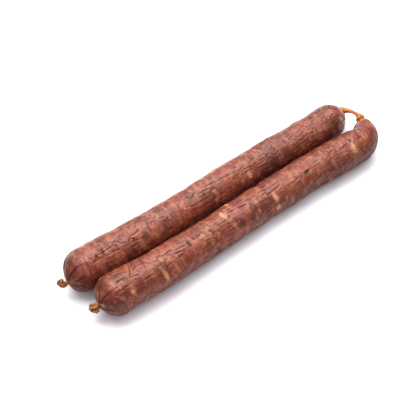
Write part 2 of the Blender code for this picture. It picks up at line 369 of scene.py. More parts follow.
class SkinSettings(bpy.types.PropertyGroup):
    """Sizes and colours of the sausages' skins."""

    sides: IntProperty(name="Sides", description="Faces round a sausage", default=196, min=24)
    rings: IntProperty(name="Rings", description="Rings of faces along a sausage", default=505, min=60)
    lump_height: length_property("Lump height", "How far the filling lumps the skin", 0.00030)
    crease_depth: length_property("Crease depth", "Depth of the cracks in the skin", 0.00042)
    wrinkle_height: length_property("Wrinkle height", "Height of the fine wrinkles along the skin", 0.00028)
    lean: colour_property("Lean", "Smoked lean meat under the skin", (0.185, 0.042, 0.024))
    dark: colour_property("Dark", "Darker, drier lean meat", (0.092, 0.021, 0.014))
    tan: colour_property("Tan", "Skin over a little fat", (0.29, 0.098, 0.048))
    fat: colour_property("Fat", "Pieces of fat that show", (0.47, 0.23, 0.115))
    # Painted shade: the colour that the bottoms of the cracks are darkened to.
    crack_shade: colour_property("Crack", "Bottom of the cracks", (0.062, 0.009, 0.005))
    herb: colour_property("Herb", "Pepper and herb under the skin", (0.034, 0.017, 0.011))
    amber: colour_property("Amber", "Bare casing near the ends", (0.36, 0.135, 0.035))
    pale: colour_property("Pale", "Casing that has lifted off the meat", (0.42, 0.29, 0.24))
    gloss: colour_property("Gloss", "Tint of the skin's soft sheen", (1.0, 0.80, 0.70))
    # Painted shade: the lower sides and the tied cap are multiplied by this.
    under_shade_tint: colour_property("Under tint", "Darkens the lower sides", (0.62, 0.43, 0.38))
    # Painted shade: darkens the linked part's sides and the top of the tied cap.
    end_shade_tint: colour_property("Smoke tint", "Darkens the part with more smoke", (0.72, 0.70, 0.70))
    # Painted shade in the sheen in cracks and on the lower sides, and herb's own duller sheen.
    herb_and_shade_gloss: colour_property("Dull gloss", "Tint of the sheen in cracks and low down", (0.20, 0.06, 0.04))
    roughness: dullness_property(0.21)


class CasingSettings(bpy.types.PropertyGroup):
    """Colours of the bare, dried casing."""

    sides: IntProperty(name="Sides", description="Faces round a knot or the strand", default=96, min=12)
    rings: IntProperty(name="Rings", description="Rings of faces along a knot", default=110, min=12)
    amber: colour_property("Amber", "Dried casing", (0.22, 0.074, 0.021))
    # Painted shade: the colour that the casing's folds are darkened to.
    fold_shade: colour_property("Brown", "Casing in its folds", (0.080, 0.026, 0.008))
    gold: colour_property("Gold", "Thin edges of the casing", (0.38, 0.160, 0.055))
    orange: colour_property("Orange", "The strand, which light passes through", (0.36, 0.100, 0.018))
    sheen: colour_property("Sheen", "Tint of the casing's sheen", (0.95, 0.62, 0.42))
    roughness: dullness_property(0.42)


class StageSettings(bpy.types.PropertyGroup):
    """Floor, light and camera."""

    floor_size: length_property("Floor size", "Width of the floor", 6.0)
    floor_colour: colour_property("Floor", "Colour of the floor", (0.80, 0.80, 0.80))
    key_power: power_property("Key power", "Power of the large soft light", 44.0)
    back_power: power_property("Back power", "Power of the light behind", 12.0)
    strip_power: power_property("Strip power", "Power of the narrow light that glints on the wrinkles", 3.0)
    fill: FloatProperty(name="Fill", description="Strength of the light from overhead", default=1.25)
    low_fill: FloatProperty(name="Low fill", description="Strength of the light from the sides", default=0.03)
    fill_colour: colour_property("Fill colour", "Colour of the light from all round", (0.98, 0.93, 1.0))
    lens: FloatProperty(name="Lens", description="Focal length in millimetres", default=90.0)
    distance: length_property("Distance", "Camera to its target", 0.6521)
    elevation: angle_property("Elevation", "Height of the camera over the horizon", 54.0)
    bearing: angle_property("Bearing", "Turn of the view from +Y towards +X", 38.32)
    target: FloatVectorProperty(
        name="Target", description="What the camera points at", subtype="TRANSLATION", size=3,
        default=(-0.01133, 0.01223, 0.0120),
    )


def ease(share):
    """Rises smoothly from 0 to 1 as share does."""
    share = np.clip(share, 0.0, 1.0)
    return share * share * (3.0 - 2.0 * share)


def rounding(distance, reach, power):
    """Share of the full radius at a distance from an end whose rounding is reach long."""
    left = 1.0 - np.clip(distance / reach, 0.0, 1.0)
    return np.clip(1.0 - left**power, 0.0, 1.0) ** (1.0 / power)


def body_radius(sausage, along):
    """Radius without the rounded ends: thicker towards the tied end."""
    return sausage.radius + sausage.club * (1.0 - ease(along / (0.45 * sausage.length)))


def skin_radius(sausage, along):
    """Radius of the plain turned body at a place along the sausage."""
    tied = rounding(along, sausage.radius, 2.0)
    linked = rounding(sausage.length - along, sausage.linked_cap, sausage.linked_power)
    radius = body_radius(sausage, along) * tied * linked
    return np.maximum(radius, np.where(along > 0.5 * sausage.length, TIP_RADIUS, NECK_RADIUS))


def read_between(wanted, places, values):
    """Rows of values at the wanted places, read in a straight line between the known places."""
    columns = [np.interp(wanted, places, values[:, axis]) for axis in range(values.shape[1])]
    return np.stack(columns, axis=1)


def side_axes(direction):
    """The right hand and upward axes of unit directions."""
    right = np.cross(direction, UP)
    right /= np.linalg.norm(right, axis=1)[:, None]
    return right, np.cross(right, direction)


def ring_points(radius, angle, along):
    """Points round the straight axis."""
    return np.stack([radius * np.cos(angle), radius * np.sin(angle), along], axis=1)


def centre_line(sausage):
    """Places along the line, its points and its unit directions, from the tied neck to the linked tip."""
    along = np.linspace(0.0, sausage.length, LINE_SAMPLES)
    hooked = ease((along - sausage.length + sausage.hook_start) / sausage.hook_span)
    swing = sausage.bow * np.cos(2.0 * np.pi * along / sausage.length)
    turn = np.radians(sausage.heading + swing + sausage.hook * hooked)
    rise = np.radians(sausage.hook_rise * hooked)
    direction = ring_points(np.cos(rise), turn, np.sin(rise))
    point = np.zeros_like(direction)
    point[1:] = np.cumsum((direction[1:] + direction[:-1]) / 2.0 * (along[1] - along[0]), axis=0)
    point[:, :2] += sausage.start
    point[:, 1] += sausage.neck_shift * np.clip(1.0 - along / NECK_SHIFT_REACH, 0.0, 1.0) ** 2
    point[:, 2] += body_radius(sausage, along) - FLAT_DEPTH
    for place, depth, width in sausage.sags:
        point[:, 1] -= depth * np.exp(-(((along - place) / width) ** 2))
    return along, point, direction


def line_frame(sausage, along):
    """Point, direction, right hand and upward axes, and bend, of the line at each of the places given."""
    places, points, directions = centre_line(sausage)
    bends = np.gradient(directions, places, axis=0)
    point, direction, bend = (read_between(along, places, values) for values in (points, directions, bends))
    direction /= np.linalg.norm(direction, axis=1)[:, None]
    return point, direction, *side_axes(direction), bend


def around_line(sausage, along, offset_right, offset_up):
    """Places points beside the sausage's line, kept short of the inside of a tight bend."""
    point, _, right, up, bend = line_frame(sausage, along)
    offset = offset_right[:, None] * right + offset_up[:, None] * up
    tightness = np.linalg.norm(bend, axis=1) + 1e-9
    inward = bend / tightness[:, None]
    reach = np.einsum("ij,ij->i", offset, inward)
    most = 0.85 / tightness
    held = (np.maximum(reach, 1e-7) ** -4 + most**-4) ** -0.25
    offset += (np.where(reach > 0.0, held, reach) - reach)[:, None] * inward
    return point + offset


def turned_mesh(name, distances, radii, sides):
    """Turns a profile about Z, with closed ends, into a mesh. Distances run down from the origin."""
    work = bmesh.new()
    ends = [work.verts.new((0.0, 0.0, 0.0)), work.verts.new((0.0, 0.0, -1.0))]
    bmesh.ops.subdivide_edges(work, edges=[work.edges.new(ends)], cuts=len(distances))
    corners = sorted(work.verts, key=lambda corner: -corner.co.z)
    corners[0].co.z, corners[-1].co.z = -distances[0], -distances[-1]
    for corner, distance, radius in zip(corners[1:-1], distances, radii):
        corner.co = (radius, 0.0, -distance)
    bmesh.ops.spin(
        work, geom=work.verts[:] + work.edges[:], cent=(0.0, 0.0, 0.0), axis=UP,
        angle=2.0 * math.pi, steps=sides, use_merge=True, use_duplicate=False,
    )
    bmesh.ops.remove_doubles(work, verts=work.verts, dist=1e-7)
    bmesh.ops.recalc_face_normals(work, faces=work.faces)
    mesh = bpy.data.meshes.new(name)
    work.to_mesh(mesh)
    work.free()
    return mesh


def turned_points(mesh):
    """A turned mesh's points, and the place along the axis and the angle round it of each."""
    flat = np.empty(len(mesh.vertices) * 3)
    mesh.vertices.foreach_get("co", flat)
    flat = flat.reshape(-1, 3)
    return flat, -flat[:, 2], np.arctan2(flat[:, 1], flat[:, 0])


def write_points(mesh, points):
    """Moves the mesh's points."""
    mesh.vertices.foreach_set("co", points.astype(np.float32).ravel())
    mesh.update()


def store(mesh, name, values):
    """Keeps a value or a place for every point of the mesh, for its material to read."""
    if values.ndim == 2:
        attribute = mesh.attributes.new(name, "FLOAT_VECTOR", "POINT")
        attribute.data.foreach_set("vector", values.astype(np.float32).ravel())
    else:
        attribute = mesh.attributes.new(name, "FLOAT", "POINT")
        attribute.data.foreach_set("value", values.astype(np.float32))


def add_piece(mesh, material, slot, *nodes):
    """Puts a finished mesh in the scene as the looks of some solids."""
    mesh.materials.append(material)
    mesh.shade_smooth()
    piece = bpy.data.objects.new(mesh.name, mesh)
    bpy.context.scene.collection.objects.link(piece)
    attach(piece, BODY)
    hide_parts(*nodes)
    return piece


def plain_noise(points, across, along):
    """Noise from -1 to 1 at every point. The wavelengths across and along the axis are in millimetres."""
    scale = np.array((across, across, along)) * MM
    return np.array([noise.noise(place) for place in (points / scale).tolist()])


def warp_noise(points, wavelength):
    """A noise vector at every point, the same in every run. The wavelength is in millimetres."""
    noise.seed_set(PATTERN_SEED)
    return np.array([noise.noise_vector(place) for place in (points / (wavelength * MM)).tolist()])


def fold_lines(points, angle, across, along):
    """How far each point is from the nearest of some long, meandering lines."""
    step = 0.10 * MM
    value = plain_noise(points, across, along)
    round_it = np.stack([-np.sin(angle), np.cos(angle), np.zeros_like(angle)], axis=1)
    slope = plain_noise(points + step * round_it, across, along) - value
    lengthways = plain_noise(points + (0.0, 0.0, step), across, along) - value
    flattest = step * 0.16 / (min(across, along) * MM)
    return np.abs(value) * step / np.maximum(np.hypot(slope, lengthways), flattest)


def line_mask(distance, width):
    """1 on a line, and 0 a few widths from it. The width is in millimetres."""
    return np.exp(-((distance / (width * MM)) ** 2))


def valley(distance, width):
    """A narrow fold: -1 in its bottom, with a low lip on each side."""
    floor = np.exp(-((distance / width) ** 2))
    lips = np.exp(-(((np.abs(distance) - 2.0 * width) / (0.8 * width)) ** 2))
    return -floor + 0.20 * lips


def solid_relief(sausage, along, angle):
    """The relief that the solid has too: swellings, nipped rings and pleated ends."""
    height = np.zeros_like(along)
    for size, wave, round_count, phase in SWELLINGS:
        phase = phase + sausage.phase
        lengthways = np.sin(2.0 * np.pi * along / wave + phase)
        height += size * lengthways * np.cos(round_count * angle + 1.7 * phase + 1.9 * along / wave)
    for place, depth, width in sausage.rings:
        offset = along - place - 0.0012 * np.sin(angle + sausage.phase)
        height -= depth * np.exp(-((offset / width) ** 2))
    height *= rounding(along, 0.016, 2.0) * rounding(sausage.length - along, 0.020, 2.0)
    tied = ease(along / 0.0015) * np.exp(-((along / PLEAT_REACH) ** 2))
    uneven = 0.9 * np.sin(2.0 * angle + sausage.phase)
    height += 0.5 * TIED_PLEAT_DEPTH * tied * np.cos(TIED_PLEATS * angle + uneven)
    left = sausage.length - along
    linked = ease(left / 0.0020) * np.exp(-((left / PLEAT_REACH) ** 2))
    height += LINKED_PLEAT_DEPTH * linked * np.cos(LINKED_PLEATS * angle + sausage.phase)
    return height


def body_points(sausage, along, angle):
    """Points on the plain turned body, while it is still straight."""
    return ring_points(skin_radius(sausage, along), angle, along)


def small_folds(sausage):
    """Short folds and creases anywhere on the skin, most of them lengthwise, as for Sausage.creases."""
    draw = random.Random(f"folds of {sausage.node}")
    folds = []
    for _ in range(SMALL_FOLDS):
        along, angle = draw.uniform(8.0, 1000.0 * sausage.length - 10.0), draw.uniform(0.0, 360.0)
        run, swing = draw.uniform(2.0, 7.5), draw.gauss(0.0, 5.0)
        if draw.random() < 0.22:
            run, swing = draw.uniform(-1.5, 1.5), draw.choice((-1, 1)) * draw.uniform(14.0, 34.0)
        middle = (
            along + 0.5 * run + draw.uniform(-0.5, 0.5),
            angle + 0.5 * swing + draw.uniform(-3.0, 3.0),
        )
        depth = draw.uniform(0.12, 0.24) if draw.random() < 0.6 else -draw.uniform(0.10, 0.17)
        path = ((along, angle), middle, (along + run, angle + swing))
        folds.append((path, depth, draw.uniform(0.36, 0.48)))
    return folds


def named_creases(sausage, along, points):
    """Height of the single creases and folds, and the painted shade that each lays along its bottom."""
    height = np.zeros_like(along)
    shade = np.zeros_like(along)
    for path, depth, width in (*sausage.creases, *small_folds(sausage)):
        marks = np.array(path)
        steps = np.linspace(0.0, len(marks) - 1.0, 5 * len(marks))
        places, turns = read_between(steps, np.arange(len(marks)), marks).T
        places = places * MM
        line = body_points(sausage, places, np.radians(turns))
        near = np.flatnonzero((along > places.min() - 4.0 * MM) & (along < places.max() + 4.0 * MM))
        near = near[((points[near] - line[len(line) // 2]) ** 2).sum(1) < (0.020) ** 2]
        nearest = np.full(len(near), 1.0)
        share = np.zeros(len(near))
        for index, (start, end) in enumerate(zip(line[:-1], line[1:])):
            run = end - start
            part = np.clip((points[near] - start) @ run / (run @ run), 0.0, 1.0)
            distance = np.linalg.norm(points[near] - start - part[:, None] * run, axis=1)
            closer = distance < nearest
            nearest[closer] = distance[closer]
            share[closer] = (index + part[closer]) / (len(line) - 1)
        taper = np.sqrt(np.clip(1.0 - np.abs(2.0 * share - 1.0) ** 3, 0.0, 1.0))
        if min(marks[:, 0]) < 1.0:
            taper = np.clip(1.0 - share**4, 0.05, 1.0)
        height[near] += depth * MM * taper * valley(nearest, width * MM)
        # Sunken creases get painted shade along their bottoms.
        if depth > 0.0:
            mark = taper * line_mask(nearest, 0.85 * width)
            shade[near] = np.maximum(shade[near], mark * min(1.0, 0.55 + depth))
    return height, shade


def skin_relief(sausage, settings, along, angle):
    """Height of the whole skin over the turned body, and a mask of the painted shade in its creases."""
    # A number added to the points moves a pattern, so that no two patterns run together.
    straight = ring_points(sausage.radius, angle, along + 0.37 * (1.0 + sausage.phase))
    warped = straight + 0.7 * MM * warp_noise(straight, 7.0) + 0.20 * MM * warp_noise(straight, 2.0)
    linked = ease((along - LINKED_START) / FINE_GROWTH)
    calm = 1.0 - 0.30 * ease((along - sausage.length + TIP_START) / TIP_GROWTH)
    ends = ease((along - 0.002) / 0.010) * ease((sausage.length - along) / 0.008)

    height = solid_relief(sausage, along, angle)
    lumps = plain_noise(straight, 9.0, 13.0) + 0.5 * plain_noise(straight, 4.6, 4.6)
    height += settings.lump_height * lumps * ends

    # Cracks run along the skin in some patches and across it in others, with breaks in both.
    patches = plain_noise(straight, 8.0, 14.0)
    breaks = plain_noise(warped + 0.1, 3.6, 5.0)
    long_lines = fold_lines(warped, angle, 3.1, 20.0)
    cross_lines = fold_lines(warped + 0.05, angle, 8.0, 4.6)
    bold = 1.0 - 0.45 * ease((along - BOLD_START) / BOLD_FADE)
    long_strength = bold * ease(0.58 + 1.2 * patches + 1.9 * breaks)
    cross_strength = bold * ease(0.24 - 1.0 * patches - 1.5 * breaks)
    groove = np.exp(-long_lines / (0.42 * MM)) * long_strength
    groove += 0.8 * np.exp(-cross_lines / (0.42 * MM)) * cross_strength
    height -= settings.crease_depth * groove * calm * ends
    # Painted shade along the cracks and the fine wrinkles.
    shade = line_mask(long_lines, 0.28) * long_strength
    shade = np.maximum(shade, line_mask(cross_lines, 0.26) * cross_strength)

    fine = fold_lines(warped + 0.3, angle, 1.5, 7.0)
    strength = ease(0.42 + 0.40 * linked + 1.5 * plain_noise(straight, 5.0, 8.0))
    ridges = np.exp(-fine / (0.40 * MM))
    height -= settings.wrinkle_height * (0.6 + 0.8 * linked) * (ridges - 0.4) * strength * calm * ends
    shade = np.maximum(shade, (0.20 + 0.28 * linked) * strength * line_mask(fine, 0.20))

    body = body_points(sausage, along, angle)
    loose = body + 0.45 * MM * warp_noise(straight + 0.3, 3.6) + 0.16 * MM * warp_noise(straight, 1.3)
    deep, deep_shade = named_creases(sausage, along, loose)
    height += deep
    return height, np.maximum(0.62 * shade * calm * ends, deep_shade)


def random_flecks(sausage):
    """Flecks of chance, each with its kind: fat and tan, most behind and underneath, and fine herb."""
    draw = random.Random(f"flecks of {sausage.node}")
    last = 1000.0 * sausage.length
    flecks = []
    for _ in range(FAR_FLECKS):
        flecks.append((
            "fat" if draw.random() < 0.4 else "tan", draw.uniform(8.0, last - 8.0),
            draw.uniform(128, 350), draw.uniform(1.4, 3.4), draw.uniform(2.4, 8.0), draw.uniform(-20, 20),
        ))
    for _ in range(NEAR_FLECKS):
        flecks.append((
            "tan", draw.uniform(8.0, last - 8.0), draw.uniform(-10, 125),
            draw.uniform(1.4, 3.4), draw.uniform(2.0, 5.6), draw.uniform(-25, 25),
        ))
    for _ in range(SPECKS):
        size = draw.uniform(0.5, 1.1)
        flecks.append((
            "herb", draw.uniform(5.0, last - 5.0), draw.uniform(0, 360),
            size, size * draw.uniform(0.7, 1.8), draw.uniform(-90, 90),
        ))
    return flecks


def fleck_masks(sausage, along, angle, straight):
    """Masks of what shows in the skin. Pepper is herb with a smoother edge, as lifted, pale casing has."""
    ragged = 0.5 * plain_noise(straight, 1.4, 1.4) + 0.4 * plain_noise(straight, 0.6, 0.6)
    masks = {kind: np.zeros_like(along) for kind in ("fat", "tan", "herb", "smoke", "pale", "amber")}
    points = body_points(sausage, along, angle)
    named = [(kind, *mark) for kind, marks in sausage.flecks.items() for mark in marks]
    for kind, place, degrees, length, width, turn in (*named, *random_flecks(sausage)):
        torn = 0.35 if kind in ("pale", "pepper") else 0.8
        kind = "herb" if kind == "pepper" else kind
        where = math.radians(degrees)
        corners = body_points(sausage, np.array([place, place + 0.1]) * MM, np.array([where, where]))
        lengthways = (corners[1] - corners[0]) / np.linalg.norm(corners[1] - corners[0])
        crossways = np.array([-math.sin(where), math.cos(where), 0.0])
        reach = 0.8 * MM * (length + width)
        near = np.flatnonzero(((points - corners[0]) ** 2).sum(1) < reach**2)
        offset = points[near] - corners[0]
        lean = math.radians(turn)
        first = offset @ (lengthways * math.cos(lean) + crossways * math.sin(lean))
        second = offset @ (crossways * math.cos(lean) - lengthways * math.sin(lean))
        distance = np.hypot(first / (0.5 * length * MM), second / (0.5 * width * MM))
        mask = 1.0 - ease((distance + torn * ragged[near] - 0.45) / 0.85)
        masks[kind][near] = np.maximum(masks[kind][near], mask)
    return masks


def add_node(tree, kind, inputs=None, **settings):
    """Adds a node; an input is a socket to join or a value to set, by its name or its number."""
    node = tree.nodes.new(kind)
    for key, value in settings.items():
        setattr(node, key, value)
    for key, value in (inputs or {}).items():
        if isinstance(value, bpy.types.NodeSocket):
            tree.links.new(value, node.inputs[key])
        elif node.inputs[key].type == "RGBA":
            node.inputs[key].default_value = (*value, 1.0)
        else:
            node.inputs[key].default_value = value
    return node


def read_attribute(tree, name, output="Fac"):
    """A value or place stored on the mesh."""
    return add_node(tree, "ShaderNodeAttribute", attribute_name=name).outputs[output]


def blend_colour(tree, share, first, second, kind="MIX"):
    """Mixes two colours; the share and each colour may be a socket."""
    inputs = {0: share, 6: first, 7: second}
    return add_node(tree, "ShaderNodeMix", inputs, data_type="RGBA", blend_type=kind).outputs[2]


def stretch(tree, value, low, high, to_low=0.0, to_high=1.0):
    """Maps a range of a value to another range, and holds it inside."""
    inputs = {"Value": value, "From Min": low, "From Max": high, "To Min": to_low, "To Max": to_high}
    return add_node(tree, "ShaderNodeMapRange", inputs).outputs["Result"]


def combine(tree, operation, first, second):
    """One arithmetic step on two values."""
    return add_node(tree, "ShaderNodeMath", {0: first, 1: second}, operation=operation).outputs[0]


def skin_pattern(tree, vector, wavelength, detail, stretched=(1.0, 1.0, 1.0), roughness=0.55):
    """Noise from 0 to 1 in the straight sausage's own space. The wavelength is in millimetres."""
    place = add_node(tree, "ShaderNodeMapping", {"Vector": vector, "Scale": stretched}).outputs[0]
    scale = 1.0 / (wavelength * MM)
    inputs = {"Vector": place, "Scale": scale, "Detail": detail, "Roughness": roughness}
    return add_node(tree, "ShaderNodeTexNoise", inputs).outputs["Fac"]


def add_bump(tree, shader, height, strength, distance):
    """Gives the shader a relief too fine for the mesh."""
    inputs = {"Height": height, "Strength": strength, "Distance": distance}
    tree.links.new(add_node(tree, "ShaderNodeBump", inputs).outputs[0], shader.inputs["Normal"])


def set_sockets(shader, values):
    """Sets what is the same all over the surface, on the shader's own sockets."""
    for name, value in values.items():
        shader.inputs[name].default_value = value


def start_material(name, preview):
    """A material with its Principled shader, and its tree."""
    material = bpy.data.materials.new(name)
    material.use_nodes = True
    material.diffuse_color = (*preview, 1.0)
    return material, material.node_tree, material.node_tree.nodes["Principled BSDF"]


def skin_material(settings):
    """Smoked casing drawn tight over lean meat, fat, pepper and herb."""
    material, tree, shader = start_material("smoked_skin", settings.lean)
    straight = read_attribute(tree, "straight", "Vector")
    broad = skin_pattern(tree, straight, 11.0, 3.0, (0.7, 0.7, 1.0))
    mottle = skin_pattern(tree, straight, 3.4, 4.0, (0.55, 0.55, 1.0), 0.62)
    grain = skin_pattern(tree, straight, 0.9, 3.0, (1.0, 1.0, 0.6), 0.6)
    fat, herb, under = (read_attribute(tree, name) for name in ("fat", "herb", "under"))

    def part(value, share):
        return combine(tree, "MULTIPLY", value, share)

    colour = settings.lean
    for share, paint in (
        (stretch(tree, broad, 0.42, 0.66), settings.dark),
        (stretch(tree, mottle, 0.50, 0.67, 0.0, 0.72), settings.tan),
        (stretch(tree, mottle, 0.48, 0.33, 0.0, 0.62), settings.dark),
        (part(read_attribute(tree, "tan"), 0.85), settings.tan),
        (part(fat, stretch(tree, grain, 0.2, 0.60, 0.60, 0.90)), settings.fat),
        (part(read_attribute(tree, "smoke"), 0.65), settings.herb),
        (herb, settings.herb),
        (read_attribute(tree, "amber"), settings.amber),
        (part(read_attribute(tree, "pale"), 0.8), settings.pale),
    ):
        colour = blend_colour(tree, share, colour, paint)
    for share, tint in (
        (1.0, stretch(tree, grain, 0.30, 0.70, 0.84, 1.10)),
        # Painted shade on the lower sides and the tied cap.
        (part(under, stretch(tree, mottle, 0.40, 0.62, 1.0, 0.35)), settings.under_shade_tint),
        # Painted shade on the linked part's sides and the tied cap's top.
        (read_attribute(tree, "smoked"), settings.end_shade_tint),
    ):
        colour = blend_colour(tree, share, colour, tint, "MULTIPLY")
    # Painted shade in the cracks, weaker over fat.
    crease_shade_share = stretch(tree, read_attribute(tree, "crease_shade"), 0.03, 0.60, 0.0, 0.84)
    crease_shade_share = part(crease_shade_share, stretch(tree, fat, 0.0, 1.0, 1.0, 0.35))
    colour = blend_colour(tree, crease_shade_share, colour, settings.crack_shade)
    tree.links.new(colour, shader.inputs["Base Color"])

    dull = stretch(tree, grain, 0.3, 0.7, settings.roughness - 0.05, settings.roughness + 0.07)
    dull = combine(tree, "ADD", dull, part(crease_shade_share, 0.40))
    dull = combine(tree, "ADD", dull, part(under, 0.35))
    tree.links.new(dull, shader.inputs["Roughness"])
    # The sheen is tinted down: painted shade in cracks and on the lower sides, and herb's own dullness.
    matt = combine(tree, "MAXIMUM", crease_shade_share, part(herb, 0.8))
    matt = combine(tree, "MAXIMUM", matt, part(under, 0.55))
    gloss = blend_colour(tree, matt, settings.gloss, settings.herb_and_shade_gloss)
    tree.links.new(gloss, shader.inputs["Specular Tint"])
    set_sockets(shader, {
        "IOR": 1.39, "Subsurface Weight": 0.05, "Subsurface Radius": (1.0, 0.35, 0.2),
        "Subsurface Scale": 0.8 * MM,
    })

    fine_lines = skin_pattern(tree, straight, 1.5, 2.0, (1.0, 1.0, 0.38), 0.5)
    folded = combine(tree, "ABSOLUTE", combine(tree, "SUBTRACT", fine_lines, 0.5), 0.0)
    leather = part(skin_pattern(tree, straight, 0.55, 2.0, (1.0, 1.0, 0.7), 0.6), 0.05)
    add_bump(tree, shader, combine(tree, "SUBTRACT", leather, folded), 1.0, 0.20 * MM)
    return material


def casing_material(name, settings, base):
    """Dried, see-through casing, with painted shade where it is folded, and lighter where it is thin."""
    material, tree, shader = start_material(name, base)
    straight = read_attribute(tree, "straight", "Vector")
    streak = skin_pattern(tree, straight, 0.8, 3.0, (1.0, 1.0, 0.3), 0.6)
    colour = blend_colour(tree, stretch(tree, streak, 0.35, 0.70), base, settings.gold)
    colour = blend_colour(tree, read_attribute(tree, "crease_shade"), colour, settings.fold_shade)
    tree.links.new(colour, shader.inputs["Base Color"])
    set_sockets(shader, {
        "Roughness": settings.roughness, "IOR": 1.42, "Specular Tint": (*settings.sheen, 1.0),
        "Subsurface Weight": 0.15, "Subsurface Radius": (1.0, 0.45, 0.12), "Subsurface Scale": 1.6 * MM,
    })
    add_bump(tree, shader, streak, 0.4, 0.12 * MM)
    return material


def paper_material(name, colour, roughness):
    """Plain matt paper with the faintest tooth."""
    material, tree, shader = start_material(name, colour)
    place = add_node(tree, "ShaderNodeTexCoord").outputs["Object"]
    add_bump(tree, shader, skin_pattern(tree, place, 2.0, 2.0), 0.05, 0.02 * MM)
    set_sockets(shader, {"Base Color": (*colour, 1.0), "Roughness": roughness, "Specular IOR Level": 0.0})
    return material


def ring_places(sausage, count):
    """Places of a sausage's rings of faces, closer together near both ends."""
    share = np.linspace(0.0, 1.0, count)
    tied, linked = 0.006, 0.010  # the lengths over which they close up
    spacing = 1.0 - 0.72 * np.exp(-share * sausage.length / tied)
    spacing -= 0.55 * np.exp(-(1 - share) * sausage.length / linked)
    places = np.concatenate([[0.0], np.cumsum((spacing[1:] + spacing[:-1]) / 2.0)])
    return places * (sausage.length / places[-1])


def make_sausage(sausage, settings, material):
    """Turns, wrinkles and lays one sausage, and checks it against its solid."""
    places = ring_places(sausage, settings.rings)
    mesh = turned_mesh(f"{sausage.node}_skin", places, skin_radius(sausage, places), settings.sides)
    flat, along, angle = turned_points(mesh)
    plain = np.hypot(flat[:, 0], flat[:, 1])
    height, crease_shade = skin_relief(sausage, settings, along, angle)
    raised = plain * (1.0 + height / skin_radius(sausage, along))
    placed = around_line(sausage, along, raised * np.cos(angle), raised * np.sin(angle))
    placed[:, 2] = np.maximum(placed[:, 2], 0.0)
    write_points(mesh, placed)

    straight = ring_points(sausage.radius, angle, along + 0.11 * (1.0 + sausage.phase))
    store(mesh, "straight", straight)
    store(mesh, "crease_shade", crease_shade)
    masks = fleck_masks(sausage, along, angle, straight)
    masks["amber"] = np.clip(0.65 * masks["amber"] + line_mask(plain - NECK_RADIUS, 1.6), 0.0, 1.0)
    # Painted shade: darker on the lower sides and over the tied cap, where less light falls.
    cap = 1.0 - ease((along - CAP_START) / CAP_FADE)
    top = np.sin(angle)
    masks["under"] = np.maximum(ease(0.62 - 0.9 * top), 0.85 * cap)
    # Painted shade: the linked part darkens on its sides, away from the top, and the tied cap darkens most on
    # top.
    smoked = ease((along - LINKED_START) / END_SHADE_GROWTH) * ease((0.97 - top) / 0.30)
    masks["smoked"] = np.clip(smoked + cap * (0.3 + 0.9 * top), 0.0, 1.0)
    for kind, mask in masks.items():
        store(mesh, kind, mask)

    low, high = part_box(sausage.node)
    if np.any(placed.min(0) < np.array(low) - FIT) or np.any(placed.max(0) > np.array(high) + FIT):
        raise RuntimeError(f"{sausage.node}: the skin leaves its solid's box")
    return add_piece(mesh, material, SKIN_SLOT, sausage.node)


def outline_points(outline, count):
    """Evenly spaced distances and radii on the smooth line through an outline's points."""
    corners = np.array(outline)
    steps = np.concatenate([[0.0], np.cumsum(np.hypot(*np.diff(corners, axis=0).T))])
    even = np.linspace(0.0, steps[-1], count)
    line = read_between(even, steps, corners)
    kernel = np.hanning(max(5, count // 9 * 2 + 1))
    kernel /= kernel.sum()
    padding = len(kernel) // 2
    for axis in range(2):
        padded = np.pad(line[:, axis], padding, mode="reflect", reflect_type="odd")
        line[:, axis] = np.convolve(padded, kernel, mode="valid")
    return line[:, 0], np.maximum(line[:, 1], 0.0001)


